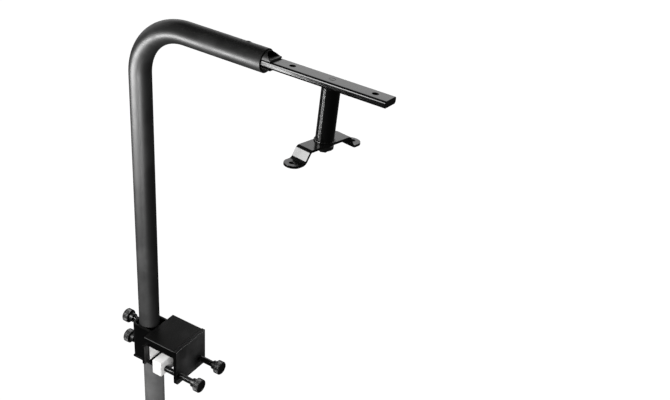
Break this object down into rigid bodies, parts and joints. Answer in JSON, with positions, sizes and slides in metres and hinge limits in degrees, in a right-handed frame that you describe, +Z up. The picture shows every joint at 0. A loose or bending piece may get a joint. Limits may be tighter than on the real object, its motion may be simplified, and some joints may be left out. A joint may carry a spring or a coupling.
{
  "type": "bike repair stand",
  "caption": "Upper section of a bike repair stand: mast with rail clamp, bent tube arm that swivels, and a flat head bar with a swivelling hat-shaped cradle.",
  "frame": {"origin": "on the arm's swivel axis, in the plane of the mast's foot", "axes": "+Z up along the mast and the arm's upright, +X along the arm's reach, +Y to its left"},
  "size_m": [0.4295, 0.1302, 0.8233],
  "materials": {
    "powder_black": "fine textured black powder coat",
    "satin_black": "satin black powder coat",
    "gloss_black": "smooth gloss black enamel",
    "knob_black": "black oxide, knurled",
    "mast_grey": "matte mid grey coat with faint streaks along the tube",
    "jaw_pale": "pale unpainted jaw face",
    "dark_steel": "blackened steel",
    "plug_black": "moulded black plug"
  },
  "bodies": {
    "clamp": {"mast_tube": "mast_grey", "mast_foot_plug": "plug_black", "arm_socket": "satin_black", "socket_floor": "satin_black", "clamp_top": "satin_black", "clamp_inner_wall": "satin_black", "clamp_outer_plate": "satin_black", "fixed_pad": "jaw_pale"},
    "arm": {"arm_tube": "powder_black", "set_screw": "dark_steel"},
    "head": {"head_bar": "gloss_black", "upper_shim": "satin_black", "lower_shim": "satin_black", "cradle_bolt": "dark_steel"},
    "cradle": {"cradle_stub": "gloss_black", "cradle_strap": "gloss_black", "cradle_washer": "dark_steel"},
    "jaw": {"jaw_block": "jaw_pale", "near_jaw_screw": "dark_steel", "far_jaw_screw": "dark_steel"},
    "near_knob": {"near_jaw_knob": "knob_black"},
    "far_knob": {"far_jaw_knob": "knob_black"},
    "upper_lock": {"upper_lock_screw": "dark_steel"},
    "upper_lock_grip": {"upper_lock_knob": "knob_black"},
    "lower_lock": {"lower_lock_screw": "dark_steel"},
    "lower_lock_grip": {"lower_lock_knob": "knob_black"}
  },
  "joints": [
    {"name": "arm_swivel", "type": "hinge", "parent": "clamp", "child": "arm", "pos_m": [0, 0, 0.24], "axis": [0, 0, 1], "continuous": true},
    {"name": "head_roll", "type": "hinge", "parent": "arm", "child": "head", "pos_m": [0.206, 0, 0.807], "axis": [1, 0, 0], "range_deg": [-90, 90]},
    {"name": "cradle_swivel", "type": "hinge", "parent": "head", "child": "cradle", "pos_m": [0.3012, 0, 0.807], "axis": [0, 0.108, 0.9942], "continuous": true},
    {"name": "jaw_slide", "type": "slide", "parent": "clamp", "child": "jaw", "axis": [1, 0, 0], "range_m": [-0.0078, 0.0236]},
    {"name": "near_knob_turn", "type": "hinge", "parent": "jaw", "child": "near_knob", "pos_m": [0.1058, -0.0254, 0.248], "axis": [1, 0, 0], "range_deg": [-1769, 5352]},
    {"name": "far_knob_turn", "type": "hinge", "parent": "jaw", "child": "far_knob", "pos_m": [0.1058, 0.0254, 0.248], "axis": [1, 0, 0], "range_deg": [-1769, 5352]},
    {"name": "upper_lock_travel", "type": "slide", "parent": "clamp", "child": "upper_lock", "axis": [1, 0, 0], "range_m": [-0.00317, 0]},
    {"name": "upper_lock_turn", "type": "hinge", "parent": "upper_lock", "child": "upper_lock_grip", "pos_m": [-0.031, 0, 0.291], "axis": [1, 0, 0], "range_deg": [-720, 0]},
    {"name": "lower_lock_travel", "type": "slide", "parent": "clamp", "child": "lower_lock", "axis": [1, 0, 0], "range_m": [-0.00317, 0]},
    {"name": "lower_lock_turn", "type": "hinge", "parent": "lower_lock", "child": "lower_lock_grip", "pos_m": [-0.031, 0, 0.25], "axis": [1, 0, 0], "range_deg": [-720, 0]}
  ],
  "couplings": [
    {"joint": "near_knob_turn", "follows": "jaw_slide", "rad_per_m": 3957.9},
    {"joint": "far_knob_turn", "follows": "jaw_slide", "rad_per_m": 3957.9},
    {"joint": "upper_lock_turn", "follows": "upper_lock_travel", "rad_per_m": 3957.9},
    {"joint": "lower_lock_turn", "follows": "lower_lock_travel", "rad_per_m": 3957.9}
  ]
}
